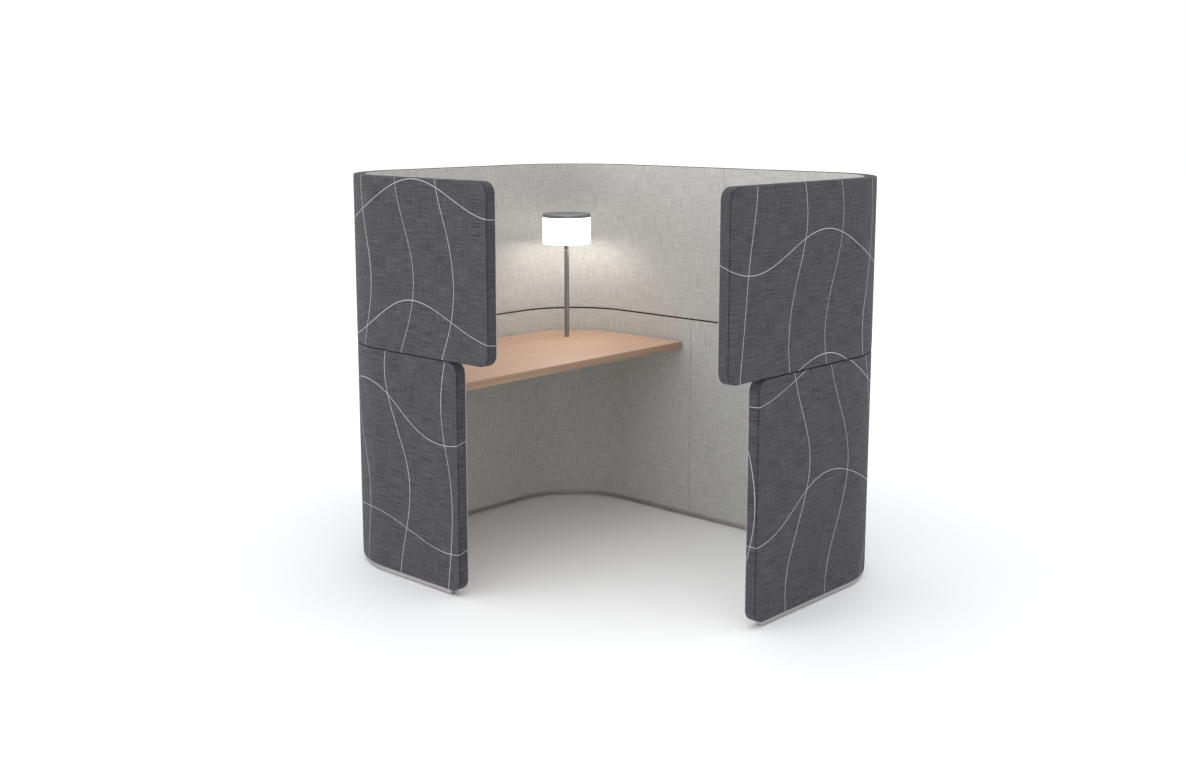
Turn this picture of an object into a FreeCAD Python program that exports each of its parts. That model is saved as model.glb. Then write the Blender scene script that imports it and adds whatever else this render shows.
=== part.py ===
"""Office booth: two tiers of curved upholstered screens round a fixed desk with a lamp.

Frame: millimetres, +Z up, origin on the floor in the middle of the plan. The desk stands against
the +Y wall, the side wall is at +X, and the way in is the open corner at -X, -Y.
"""
import FreeCAD, Part
import math
import os
from dataclasses import dataclass

import Sketcher

SIZES = {
    # Plan and height of the whole booth
    "booth_width": 1330,
    "booth_depth": 1660,
    "booth_height": 1420,
    "corner_radius": 335,
    # The wall, from its outer face inwards
    "wall": 45,
    "outer_pad": 8,
    "inner_pad": 7,
    "border": 8,
    "glue_gap": 0.3,
    "edge_radius": 6,
    "end_corner": 40,
    # The joint between the tiers, and the runs of the shells from the outer faces that they turn off
    "joint_above_desk": 94,
    "joint_gap": 4,
    "lower_left_arm": 745,
    "upper_left_arm": 900,
    "lower_entry_arm": 885,
    "upper_entry_arm": 1045,
    "lower_seam": 705,
    "upper_seam": 862,
    "seam_gap": 0.6,
    # Strip in the joint between the tiers
    "strip_width": 20,
    # Plinth rail and levelling feet
    "plinth_height": 20,
    "plinth_lift": 3,
    "plinth_recess": 9,
    "plinth_wall": 3,
    "plinth_end": 52,
    "foot_pad_radius": 9,
    "foot_pad_height": 6,
    "foot_pad_round": 1.2,
    "foot_collar_radius": 6.5,
    "foot_seat": 0.3,
    "foot_stem_radius": 4,
    "foot_stem_reach": 24,
    "foot_hole_gap": 0.6,
    "foot_margin": 110,
    "foot_bend_gap": 50,
    "insert_wall": 2,
    "insert_length": 34,
    "insert_gap": 0.2,
    "thread_gap": 0.05,
    # Dowels between the tiers and bolts across the seams
    "dowel_radius": 4,
    "dowel_reach": 36,
    "dowel_gap": 0.15,
    "dowel_margin": 125,
    "dowel_bend_gap": 90,
    "bolt_radius": 4,
    "bolt_reach": 36,
    "bolt_gap": 0.15,
    "bolt_margin": 150,
    # Desk
    "desk_height": 722,
    "desk_thickness": 28,
    "desk_depth": 615,
    "desk_gap": 5,
    "desk_band": 2,
    "desk_round": 1.2,
    # Angle brackets under the desk and their screws
    "bracket_leg": 40,
    "bracket_metal": 3,
    "bracket_bend": 3,
    "bracket_front": 175,
    "side_bracket_length": 145,
    "bracket_bend_gap": 50,
    "screw_margin": 40,
    "screw_seat": 24,
    "screw_radius": 2.2,
    "screw_length": 22,
    "screw_head_radius": 4.5,
    "screw_head_height": 2.6,
    "screw_gap": 0.2,
    # Lamp
    "lamp_from_back": 199,
    "lamp_from_side": 235,
    "lamp_height": 506,
    "shade_radius": 97.5,
    "shade_wall": 3,
    "shade_height": 108,
    "cap_thickness": 13,
    "cap_round": 3,
    "cap_plug": 6,
    "cap_boss_radius": 16,
    "cap_boss_length": 26,
    "lamp_fit_gap": 0.2,
    "pole_radius": 9.5,
    "pole_bore": 4.5,
    "neck_radius": 6.5,
    "dimmer_drop": 24,
    "dimmer_length": 36,
    "dimmer_round": 0.8,
    "dimmer_fit": 0.08,
    "dimmer_seat": 0.3,
    "board_radius": 78,
    "board_thickness": 3,
    "diffuser_radius": 86,
    "diffuser_wall": 2,
    "diffuser_depth": 20,
    "flange_radius": 36,
    "flange_thickness": 5,
    "flange_boss_radius": 16,
    "flange_boss_length": 24,
    "flange_floor": 5,
    "flange_screw_circle": 27,
    "pole_hole_gap": 0.25,
    "inlet_radius": 8,
    "inlet_length": 14,
    "inlet_bore": 2.75,
    "inlet_bore_depth": 11,
    "inlet_spigot": 4,
}

TOUCH = 0.01

HALF_WIDTH = "sizes.booth_width / 2"
HALF_DEPTH = "sizes.booth_depth / 2"
INNER_X = f"({HALF_WIDTH} - sizes.wall)"
INNER_Y = f"({HALF_DEPTH} - sizes.wall)"
CORE_OUTER = "sizes.outer_pad"
CORE_INNER = "(sizes.wall - sizes.inner_pad)"
CORE_MIDDLE = f"({CORE_OUTER} + {CORE_INNER}) / 2"
STRAIGHT_X = f"({HALF_WIDTH} - sizes.corner_radius)"
JOINT = "(sizes.desk_height + sizes.joint_above_desk)"
LOWER_TOP = f"({JOINT} - sizes.joint_gap / 2)"
UPPER_BASE = f"({JOINT} + sizes.joint_gap / 2)"
DESK_UNDERSIDE = "(sizes.desk_height - sizes.desk_thickness)"
DESK_BACK = f"({INNER_Y} - sizes.desk_gap)"
DESK_FRONT = f"({DESK_BACK} - sizes.desk_depth)"
LAMP_X = f"({INNER_X} - sizes.lamp_from_side)"
LAMP_Y = f"({INNER_Y} - sizes.lamp_from_back)"

document = FreeCAD.newDocument("office_booth")
sheet = document.addObject("Spreadsheet::Sheet", "sizes")
subparts = []


@dataclass(frozen=True)
class Shell:
    """One curved screen: its name, the run of its plan and its height, as expressions."""

    name: str
    has_desk: bool
    arm: str
    seam: str
    base: str
    top: str


LOWER = ("sizes.lower_seam", "sizes.plinth_height", LOWER_TOP)
UPPER = ("sizes.upper_seam", UPPER_BASE, "sizes.booth_height")
LOWER_DESK = Shell("lower_desk", True, "sizes.lower_left_arm", *LOWER)
LOWER_ENTRY = Shell("lower_entry", False, "sizes.lower_entry_arm", *LOWER)
UPPER_DESK = Shell("upper_desk", True, "sizes.upper_left_arm", *UPPER)
UPPER_ENTRY = Shell("upper_entry", False, "sizes.upper_entry_arm", *UPPER)


def fill_sheet():
    """Write the driving dimensions into the spreadsheet, one aliased cell each."""
    for row, (alias, size) in enumerate(SIZES.items(), start=1):
        sheet.set(f"A{row}", alias)
        sheet.set(f"B{row}", str(size))
        sheet.setAlias(f"B{row}", alias)
    document.recompute()


def value(expression):
    """Give the present number of an expression on the sheet."""
    return float(sheet.evalExpression(expression))


def keep(subpart, label):
    """Name a finished sub-part and list it for export."""
    subpart.Label = label
    subparts.append(subpart)
    return subpart


def origin_plane(body, role):
    """Find one of a body's own origin planes."""
    return next(plane for plane in body.Origin.OriginFeatures if plane.Role == role)


def outline_sketch(body, role, edges, rounds, lift="0"):
    """Sketch a right-angled outline, each line bound to its distance from the origin.

    edges holds (axis, expression) pairs taken in turn round the outline: ("x", e) is the line x = e.
    rounds gives the radius of the corner after an edge, by that edge's index.
    """
    sketch = body.newObject("Sketcher::SketchObject", f"{body.Name}_outline")
    sketch.AttachmentSupport = [(origin_plane(body, role), "")]
    sketch.MapMode = "FlatFace"
    sketch.setExpression("AttachmentOffset.Base.z", lift)
    count = len(edges)
    places = [value(expression) for _, expression in edges]
    corners = []
    for index, (axis, _) in enumerate(edges):
        after = places[(index + 1) % count]
        pair = (places[index], after) if axis == "x" else (after, places[index])
        corners.append(FreeCAD.Vector(*pair, 0))
    runs = [(corners[index] - corners[index - 1]).normalize() for index in range(count)]
    radii = [value(rounds[index]) if index in rounds else 0.0 for index in range(count)]
    for index in range(count):
        start = corners[index - 1] + runs[index] * radii[index - 1]
        finish = corners[index] - runs[index] * radii[index]
        sketch.addGeometry(Part.LineSegment(start, finish))
    for index, (axis, expression) in enumerate(edges):
        bind_line(sketch, index, axis, expression)
    for index in range(count):
        after = (index + 1) % count
        if index in rounds:
            round_corner(sketch, index, after, corners[index], runs, radii[index], rounds[index])
        else:
            sketch.addConstraint(Sketcher.Constraint("Coincident", index, 2, after, 1))
    return sketch


def bind_line(sketch, line, axis, expression):
    """Keep one outline line upright or level, at a bound distance from the origin."""
    upright, level = ("Vertical", "DistanceX", -2), ("Horizontal", "DistanceY", -1)
    kind, distance, zero_axis = upright if axis == "x" else level
    sketch.addConstraint(Sketcher.Constraint(kind, line))
    place = value(expression)
    if abs(place) < TOUCH:
        sketch.addConstraint(Sketcher.Constraint("PointOnObject", line, 1, zero_axis))
        return
    ends = (-1, 1, line, 1) if place > 0 else (line, 1, -1, 1)
    index = sketch.addConstraint(Sketcher.Constraint(distance, *ends, abs(place)))
    sketch.renameConstraint(index, f"line_{line}")
    sketch.setExpression(f"Constraints.line_{line}", expression if place > 0 else f"-({expression})")


def round_corner(sketch, before, after, corner, runs, radius, expression):
    """Join two outline lines by a tangent arc of a bound radius."""
    centre = corner - runs[before] * radius + runs[after] * radius
    leave = corner - runs[before] * radius - centre
    arrive = corner + runs[after] * radius - centre
    turns_left = runs[before].cross(runs[after]).z > 0
    first, last = (leave, arrive) if turns_left else (arrive, leave)
    circle = Part.Circle(centre, FreeCAD.Vector(0, 0, 1), radius)
    arc_span = Part.ArcOfCircle(circle, math.atan2(first.y, first.x), math.atan2(last.y, last.x))
    arc = sketch.addGeometry(arc_span)
    leave_end, arrive_end = (1, 2) if turns_left else (2, 1)
    sketch.addConstraint(Sketcher.Constraint("Tangent", before, 2, arc, leave_end))
    sketch.addConstraint(Sketcher.Constraint("Tangent", arc, arrive_end, after, 1))
    index = sketch.addConstraint(Sketcher.Constraint("Radius", arc, radius))
    sketch.renameConstraint(index, f"round_{before}")
    sketch.setExpression(f"Constraints.round_{before}", expression)


def place(item, x="0", y="0", z="0", rotation=None):
    """Bind an object's place to the sheet, with an optional fixed rotation."""
    if rotation:
        item.Placement.Rotation = rotation
    for axis, expression in zip("xyz", (x, y, z)):
        item.setExpression(f"Placement.Base.{axis}", expression)
    return item


def padded(name, role, edges, rounds, lift, length, midplane=False):
    """Make a body by padding a right-angled outline."""
    body = document.addObject("PartDesign::Body", name)
    sketch = outline_sketch(body, role, edges, rounds, lift)
    pad = body.newObject("PartDesign::Pad", f"{name}_pad")
    pad.Profile = sketch
    pad.Midplane = midplane
    pad.setExpression("Length", length)
    document.recompute()
    return body


def revolved(name, edges, rounds=None):
    """Make a body by turning an outline of radii (x) and heights (y) about the Z axis."""
    body = document.addObject("PartDesign::Body", name)
    sketch = outline_sketch(body, "XZ_Plane", edges, rounds or {})
    turned = body.newObject("PartDesign::Revolution", f"{name}_turned")
    turned.Profile = sketch
    turned.ReferenceAxis = (sketch, ["V_Axis"])
    turned.Angle = 360
    document.recompute()
    return body


def round_edges(body, radius, chosen):
    """Fillet the edges of a body's tip that a test picks by their place."""
    base = body.Tip
    names = [f"Edge{index}" for index, edge in enumerate(base.Shape.Edges, start=1) if chosen(edge)]
    fillet = body.newObject("PartDesign::Fillet", f"{base.Name}_round")
    fillet.Base = (base, names)
    fillet.setExpression("Radius", radius)
    document.recompute()


def edge_points(edge):
    """Give the two ends and the middle of an edge."""
    first, last = edge.ParameterRange
    return [edge.valueAt(parameter) for parameter in (first, (first + last) / 2, last)]


def boolean(kind, name, base, tool):
    """Combine two objects by a Part boolean such as Part::Cut."""
    result = document.addObject(kind, name)
    result.Base = base
    result.Tool = tool
    return result


def group(name, members):
    """Gather separate solids in one compound."""
    compound = document.addObject("Part::Compound", name)
    compound.Links = members
    return compound


def drilled(name, base, holes):
    """Cut a set of separate hole cylinders out of an object."""
    return boolean("Part::Cut", name, base, group(f"{name}_holes", holes))


def rod(name, radius, length, x, y, z, rotation=None):
    """Make a cylinder that starts at a point and runs along its local Z."""
    cylinder = document.addObject("Part::Cylinder", name)
    cylinder.setExpression("Radius", radius)
    cylinder.setExpression("Height", length)
    return place(cylinder, x, y, z, rotation)


ALONG_X = FreeCAD.Rotation(FreeCAD.Vector(0, 1, 0), 90)
AGAINST_X = FreeCAD.Rotation(FreeCAD.Vector(0, 1, 0), -90)
ALONG_Y = FreeCAD.Rotation(FreeCAD.Vector(1, 0, 0), -90)


def shell_outline(shell, outer, inner, free_inset="0", seam_inset="0"):
    """Give the plan of a slab of a shell, between two depths from the wall's outer face."""
    right_outer, right_inner = f"{HALF_WIDTH} - ({outer})", f"{HALF_WIDTH} - ({inner})"
    far_outer, far_inner = f"{HALF_DEPTH} - ({outer})", f"{HALF_DEPTH} - ({inner})"
    outer_round, inner_round = f"sizes.corner_radius - ({outer})", f"sizes.corner_radius - ({inner})"
    if shell.has_desk:
        edges = [
            ("x", f"-({right_outer})"), ("y", far_outer), ("x", right_outer),
            ("y", f"{HALF_DEPTH} - {shell.seam} + {seam_inset}"),
            ("x", right_inner), ("y", far_inner), ("x", f"-({right_inner})"),
            ("y", f"{HALF_DEPTH} - {shell.arm} + {free_inset}"),
        ]
        return edges, {0: outer_round, 1: outer_round, 4: inner_round, 5: inner_round}
    edges = [
        ("x", right_outer), ("y", f"-({far_outer})"),
        ("x", f"{HALF_WIDTH} - {shell.arm} + {free_inset}"),
        ("y", f"-({far_inner})"), ("x", right_inner),
        ("y", f"{HALF_DEPTH} - {shell.seam} - sizes.seam_gap - {seam_inset}"),
    ]
    return edges, {0: outer_round, 3: inner_round}


def slab(name, shell, outer, inner, base, top, free_inset="0", seam_inset="0"):
    """Make a slab of a shell between two depths and two heights."""
    edges, rounds = shell_outline(shell, outer, inner, free_inset, seam_inset)
    return padded(name, "XY_Plane", edges, rounds, base, f"{top} - {base}")


def past_free_end(shell, point, inset):
    """Measure how far a point lies inside a shell's free end."""
    if shell.has_desk:
        return point.y - value(f"{HALF_DEPTH} - {shell.arm} + {inset}") if point.x < 0 else math.inf
    return point.x - value(f"{HALF_WIDTH} - {shell.arm} + {inset}") if point.y < 0 else math.inf


def round_free_end(body, shell, inset, radius):
    """Round the top and bottom corners of a shell's free end, seen from its side."""
    def across_end(edge):
        points = edge_points(edge)
        level = abs(points[0].z - points[2].z) < TOUCH
        return level and all(abs(past_free_end(shell, point, inset)) < TOUCH for point in points)
    round_edges(body, radius, across_end)


def wall_depth(point):
    """Measure how deep a point lies in the wall, from its outer face inwards."""
    radius = value("sizes.corner_radius")
    along_x = abs(point.x) - (value(HALF_WIDTH) - radius)
    along_y = abs(point.y) - (value(HALF_DEPTH) - radius)
    outside = math.hypot(max(along_x, 0), max(along_y, 0))
    return radius - outside - min(max(along_x, along_y), 0)


def soften_rims(body, shell):
    """Round the long edges of both faces of a shell, and those of its free end."""
    wall, base, top, corner = (value(e) for e in ("sizes.wall", shell.base, shell.top, "sizes.end_corner"))

    def on_rim(edge):
        points = edge_points(edge)
        depths = [wall_depth(point) for point in points]
        on_face = any(all(abs(depth - face) < TOUCH for depth in depths) for face in (0, wall))
        level = any(all(abs(point.z - height) < TOUCH for point in points) for height in (base, top))
        at_end = all(past_free_end(shell, point, "0") < corner + TOUCH for point in points)
        return on_face and (level or at_end)
    round_edges(body, "sizes.edge_radius", on_rim)


def build_shell(shell, cover_holes, core_holes, lining_holes):
    """Build one screen: a bent core, a dark cover wrapped round it and a light lining."""
    whole = slab(f"{shell.name}_whole", shell, "0", "sizes.wall", shell.base, shell.top)
    round_free_end(whole, shell, "0", "sizes.end_corner")
    soften_rims(whole, shell)

    pocket = slab(
        f"{shell.name}_pocket", shell, CORE_OUTER, f"{CORE_INNER} + sizes.glue_gap",
        f"({shell.base} + sizes.border)", f"({shell.top} - sizes.border)", "sizes.border", "sizes.border",
    )
    round_free_end(pocket, shell, "sizes.border", "sizes.end_corner - sizes.border")
    inset = "(sizes.border + sizes.glue_gap)"
    core = slab(
        f"{shell.name}_board", shell, f"{CORE_OUTER} + sizes.glue_gap", CORE_INNER,
        f"({shell.base} + {inset})", f"({shell.top} - {inset})", inset, inset,
    )
    round_free_end(core, shell, inset, f"sizes.end_corner - {inset}")

    past = "sizes.wall"
    room_side = slab(
        f"{shell.name}_room_side", shell, CORE_INNER, f"{past} + sizes.edge_radius",
        f"({shell.base} - {past})", f"({shell.top} + {past})", f"-{past}", "-sizes.seam_gap / 2",
    )
    lining_side = slab(
        f"{shell.name}_lining_side", shell, f"{CORE_INNER} + sizes.glue_gap", f"{past} + sizes.edge_radius",
        f"({shell.base} - {past})", f"({shell.top} + {past})", f"-{past}", "-sizes.seam_gap / 2",
    )
    wrap = boolean("Part::Cut", f"{shell.name}_wrap", whole, room_side)
    wrap = boolean("Part::Cut", f"{shell.name}_wrap_open", wrap, pocket)
    keep(drilled(f"{shell.name}_wrap_drilled", wrap, cover_holes), f"{shell.name}_cover")
    keep(drilled(f"{shell.name}_board_drilled", core, core_holes), f"{shell.name}_core")
    lining = boolean("Part::Common", f"{shell.name}_face", whole, lining_side)
    if lining_holes:
        lining = drilled(f"{shell.name}_face_drilled", lining, lining_holes)
    keep(lining, f"{shell.name}_lining")


def wall_point(wall, along):
    """Give the plan place of a point in the middle of the core, by wall and distance along it."""
    return {
        "left": (f"-({HALF_WIDTH} - {CORE_MIDDLE})", f"{HALF_DEPTH} - ({along})"),
        "desk": (along, f"{HALF_DEPTH} - {CORE_MIDDLE}"),
        "side": (f"{HALF_WIDTH} - {CORE_MIDDLE}", f"{HALF_DEPTH} - ({along})"),
        "entry": (f"{HALF_WIDTH} - ({along})", f"-({HALF_DEPTH} - {CORE_MIDDLE})"),
    }[wall]


FEET = {
    LOWER_DESK: [
        wall_point("left", "sizes.lower_left_arm - sizes.foot_margin"),
        wall_point("desk", f"-({STRAIGHT_X} - sizes.foot_bend_gap)"),
        wall_point("desk", f"{STRAIGHT_X} - sizes.foot_bend_gap"),
        wall_point("side", "sizes.lower_seam - sizes.foot_margin"),
    ],
    LOWER_ENTRY: [
        wall_point("side", "sizes.lower_seam + sizes.foot_margin"),
        wall_point("side", "sizes.booth_depth - sizes.corner_radius"),
        wall_point("entry", "sizes.corner_radius"),
        wall_point("entry", "sizes.lower_entry_arm - sizes.foot_margin"),
    ],
}

# Each dowel stands in one lower shell and one upper shell
DOWELS = [
    (LOWER_DESK, UPPER_DESK, wall_point("left", "sizes.lower_left_arm - sizes.dowel_margin")),
    (LOWER_DESK, UPPER_DESK, wall_point("desk", f"-({STRAIGHT_X} - sizes.dowel_bend_gap)")),
    (LOWER_DESK, UPPER_DESK, wall_point("desk", f"{STRAIGHT_X} - sizes.dowel_bend_gap")),
    (LOWER_DESK, UPPER_DESK, wall_point("side", "sizes.lower_seam - sizes.dowel_margin")),
    (LOWER_ENTRY, UPPER_DESK, wall_point("side", "(sizes.lower_seam + sizes.upper_seam) / 2")),
    (LOWER_ENTRY, UPPER_ENTRY, wall_point("side", "sizes.booth_depth - sizes.corner_radius")),
    (LOWER_ENTRY, UPPER_ENTRY, wall_point("entry", "sizes.corner_radius")),
    (LOWER_ENTRY, UPPER_ENTRY, wall_point("entry", "sizes.lower_entry_arm - sizes.dowel_margin")),
]


def build_dowels():
    """Build the upright dowels that locate the upper tier, and give the holes for each shell."""
    start, length = f"{JOINT} - sizes.dowel_reach", "2 * sizes.dowel_reach"
    dowels = []
    holes = {shell: [] for shell in (LOWER_DESK, LOWER_ENTRY, UPPER_DESK, UPPER_ENTRY)}
    for number, (lower, upper, (x, y)) in enumerate(DOWELS, start=1):
        dowels.append(rod(f"dowel_{number}", "sizes.dowel_radius", length, x, y, start))
        hole = rod(
            f"dowel_hole_{number}", "sizes.dowel_radius + sizes.dowel_gap",
            f"{length} + 2 * sizes.dowel_gap", x, y, f"{start} - sizes.dowel_gap",
        )
        holes[lower].append(hole)
        holes[upper].append(hole)
    keep(group("dowel_set", dowels), "stacking_dowels")
    return holes


def build_seam_bolts():
    """Build the level bolts that pull two shells together at each seam, and give their holes."""
    x, length = f"{HALF_WIDTH} - {CORE_MIDDLE}", "2 * sizes.bolt_reach"
    bolts = []
    holes = {}
    for desk_shell, entry_shell in ((LOWER_DESK, LOWER_ENTRY), (UPPER_DESK, UPPER_ENTRY)):
        y = f"{HALF_DEPTH} - {desk_shell.seam} - sizes.seam_gap / 2 - sizes.bolt_reach"
        heights = (f"{desk_shell.base} + sizes.bolt_margin", f"{desk_shell.top} - sizes.bolt_margin")
        pair = []
        for number, height in enumerate(heights, start=1):
            name = f"{desk_shell.name}_bolt_{number}"
            bolts.append(rod(name, "sizes.bolt_radius", length, x, y, height, ALONG_Y))
            pair.append(rod(
                f"{name}_hole", "sizes.bolt_radius + sizes.bolt_gap",
                f"{length} + 2 * sizes.bolt_gap", x, f"{y} - sizes.bolt_gap", height, ALONG_Y,
            ))
        holes[desk_shell] = pair
        holes[entry_shell] = pair
    keep(group("seam_bolt_set", bolts), "seam_bolts")
    return holes


def build_feet():
    """Build the levelling feet and their threaded inserts, and give the holes for each shell."""
    core_base = "(sizes.plinth_height + sizes.border + sizes.glue_gap)"
    collar_top = "sizes.plinth_height - sizes.plinth_wall - sizes.foot_seat"
    stem_top = f"{core_base} + sizes.foot_stem_reach"
    insert_outer = "sizes.foot_stem_radius + sizes.thread_gap + sizes.insert_wall"
    inserts = []
    stem_holes = {}
    insert_holes = {}
    number = 0
    for shell, places in FEET.items():
        stem_holes[shell] = []
        insert_holes[shell] = []
        for x, y in places:
            number += 1
            foot = revolved(
                f"foot_{number}",
                [
                    ("x", "0"), ("y", "0"), ("x", "sizes.foot_pad_radius"), ("y", "sizes.foot_pad_height"),
                    ("x", "sizes.foot_collar_radius"), ("y", collar_top),
                    ("x", "sizes.foot_stem_radius"), ("y", stem_top),
                ],
                {1: "sizes.foot_pad_round", 2: "sizes.foot_pad_round"},
            )
            keep(place(foot, x, y), f"levelling_foot_{number}")
            insert = revolved(
                f"insert_{number}",
                [
                    ("x", "sizes.foot_stem_radius + sizes.thread_gap"), ("y", core_base),
                    ("x", insert_outer), ("y", f"{core_base} + sizes.insert_length"),
                ],
            )
            inserts.append(place(insert, x, y))
            stem_holes[shell].append(rod(
                f"stem_hole_{number}", "sizes.foot_stem_radius + sizes.foot_hole_gap",
                core_base, x, y, "0",
            ))
            insert_holes[shell].append(rod(
                f"insert_hole_{number}", f"{insert_outer} + sizes.insert_gap",
                f"{core_base} + sizes.insert_length + sizes.insert_gap", x, y, "0",
            ))
    keep(group("insert_set", inserts), "foot_inserts")
    return stem_holes, insert_holes


def build_plinth(shell, label, holes):
    """Build one aluminium plinth rail, a channel that opens downwards over the feet."""
    recess, metal = "sizes.plinth_recess", "sizes.plinth_wall"
    rail = slab(
        label, shell, recess, f"sizes.wall - {recess}",
        "sizes.plinth_lift", "sizes.plinth_height", "sizes.plinth_end",
    )
    edges, rounds = shell_outline(
        shell, f"{recess} + {metal}", f"sizes.wall - {recess} - {metal}",
        f"(sizes.plinth_end + {metal})", metal,
    )
    before = rail.Shape.Volume
    channel = rail.newObject("PartDesign::Pocket", f"{label}_channel")
    channel.Profile = outline_sketch(rail, "XY_Plane", edges, rounds, "sizes.plinth_lift")
    channel.Reversed = True
    channel.setExpression("Length", f"sizes.plinth_height - sizes.plinth_lift - {metal}")
    document.recompute()
    if rail.Shape.Volume > before - TOUCH:
        raise RuntimeError(f"{label}: the channel was not cut")
    keep(drilled(f"{label}_drilled", rail, holes), f"{label}_rail")


def build_joint_strip(shell, label, holes):
    """Build the black strip that lies in the shadow joint between the tiers."""
    margin = "(sizes.wall - sizes.strip_width) / 2"
    strip = slab(
        label, shell, margin, f"sizes.wall - {margin}", LOWER_TOP, UPPER_BASE, "sizes.end_corner",
    )
    keep(drilled(f"{label}_drilled", strip, holes), f"{label}_strip")


def screw(name, x, y, z, rotation=None):
    """Make a pan-head screw whose head seats at a point and whose shank runs along local Z."""
    body = revolved(
        name,
        [
            ("x", "0"), ("y", "-sizes.screw_head_height"), ("x", "sizes.screw_head_radius"), ("y", "0"),
            ("x", "sizes.screw_radius"), ("y", "sizes.screw_length"),
        ],
    )
    return place(body, x, y, z, rotation)


def screw_hole(name, x, y, z, rotation=None):
    """Make the hole that a screw's shank stands in."""
    return rod(
        name, "sizes.screw_radius + sizes.screw_gap", "sizes.screw_length + sizes.screw_gap",
        x, y, z, rotation,
    )


@dataclass(frozen=True)
class Bracket:
    """One angle under the desk: its name, length, foot on the wall and the turn that faces it inwards."""

    name: str
    length: str
    foot_x: str
    foot_y: str
    turn: int
    into_wall: FreeCAD.Rotation

    def spot(self, out, along):
        """Give the plan place of a point so far out from the wall and so far along it."""
        if self.turn == 0:
            return f"{self.foot_x} + {out}", f"{self.foot_y} + {along}"
        if self.turn == 180:
            return f"{self.foot_x} - {out}", f"{self.foot_y} + {along}"
        return f"{self.foot_x} + {along}", f"{self.foot_y} - {out}"


BRACKET_Y = f"({DESK_FRONT} + sizes.bracket_front + sizes.side_bracket_length / 2)"
BRACKETS = [
    Bracket("left", "sizes.side_bracket_length", f"-{INNER_X}", BRACKET_Y, 0, AGAINST_X),
    Bracket("right", "sizes.side_bracket_length", INNER_X, BRACKET_Y, 180, ALONG_X),
    Bracket("back", f"2 * ({STRAIGHT_X} - sizes.bracket_bend_gap)", "0", INNER_Y, -90, ALONG_Y),
]


def build_brackets():
    """Build the angle brackets with their screws, and give the holes in wall and desk."""
    leg, metal = "sizes.bracket_leg", "sizes.bracket_metal"
    wall_screws, desk_screws, wall_holes, desk_holes = [], [], [], []
    for bracket in BRACKETS:
        angle = padded(
            f"{bracket.name}_angle", "XZ_Plane",
            [("x", "0"), ("y", f"-{leg}"), ("x", metal), ("y", f"-{metal}"), ("x", leg), ("y", "0")],
            {2: "sizes.bracket_bend"}, "0", bracket.length, midplane=True,
        )
        turn = FreeCAD.Rotation(FreeCAD.Vector(0, 0, 1), bracket.turn)
        place(angle, bracket.foot_x, bracket.foot_y, DESK_UNDERSIDE, turn)
        own_holes = []
        for side in (-1, 1):
            along = f"{side} * ({bracket.length} / 2 - sizes.screw_margin)"
            wall_spot = (*bracket.spot(metal, along), f"{DESK_UNDERSIDE} - sizes.screw_seat")
            desk_spot = (*bracket.spot("sizes.screw_seat", along), f"{DESK_UNDERSIDE} - {metal}")
            name = f"{bracket.name}_screw_{len(own_holes)}"
            wall_screws.append(screw(f"{name}_wall", *wall_spot, bracket.into_wall))
            desk_screws.append(screw(f"{name}_desk", *desk_spot))
            wall_holes.append(screw_hole(f"{name}_wall_hole", *wall_spot, bracket.into_wall))
            desk_holes.append(screw_hole(f"{name}_desk_hole", *desk_spot))
            own_holes += [wall_holes[-1], desk_holes[-1]]
        keep(drilled(f"{bracket.name}_angle_drilled", angle, own_holes), f"desk_bracket_{bracket.name}")
    keep(group("wall_screw_set", wall_screws), "bracket_wall_screws")
    keep(group("desk_screw_set", desk_screws), "bracket_desk_screws")
    return wall_holes, desk_holes


def build_desk(holes):
    """Build the desk top, which follows the inside of the wall, and its front edge band."""
    right, back, front = f"{INNER_X} - sizes.desk_gap", DESK_BACK, DESK_FRONT
    back_round = "sizes.corner_radius - sizes.wall - sizes.desk_gap"
    top = padded(
        "desk_board", "XY_Plane",
        [("y", f"{front} + sizes.desk_band"), ("x", right), ("y", back), ("x", f"-({right})")],
        {1: back_round, 2: back_round}, DESK_UNDERSIDE, "sizes.desk_thickness",
    )
    front_line = value(f"{front} + sizes.desk_band")
    rim_height = value("sizes.desk_height")

    def on_top_rim(edge):
        points = edge_points(edge)
        level = all(abs(point.z - rim_height) < TOUCH for point in points)
        return level and any(abs(point.y - front_line) > TOUCH for point in points)
    round_edges(top, "sizes.desk_round", on_top_rim)
    keep(drilled("desk_board_drilled", top, holes), "desk_top")

    band = padded(
        "front_band", "XY_Plane",
        [("y", front), ("x", right), ("y", f"{front} + sizes.desk_band"), ("x", f"-({right})")],
        {}, DESK_UNDERSIDE, "sizes.desk_thickness",
    )
    band_line = value(front)

    def on_front(edge):
        return all(abs(point.y - band_line) < TOUCH for point in edge_points(edge))
    round_edges(band, "sizes.desk_round", on_front)
    keep(band, "desk_front_band")


SHADE_TOP = "(sizes.desk_height + sizes.lamp_height - sizes.cap_thickness)"
SHADE_BASE = f"({SHADE_TOP} - sizes.shade_height)"
PLUG_BASE = f"({SHADE_TOP} - sizes.cap_plug)"
BOSS_BASE = f"({PLUG_BASE} - sizes.cap_boss_length)"
DIMMER_BASE = f"({SHADE_BASE} - sizes.dimmer_drop)"
FLANGE_BASE = f"({DESK_UNDERSIDE} - sizes.flange_thickness - sizes.flange_boss_length)"
POLE_FOOT = f"({FLANGE_BASE} + sizes.flange_floor + sizes.lamp_fit_gap)"


def lamp_piece(name, label, edges, rounds=None):
    """Turn one piece of the lamp and stand it on the lamp's axis."""
    return keep(place(revolved(name, edges, rounds), LAMP_X, LAMP_Y), label)


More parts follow.
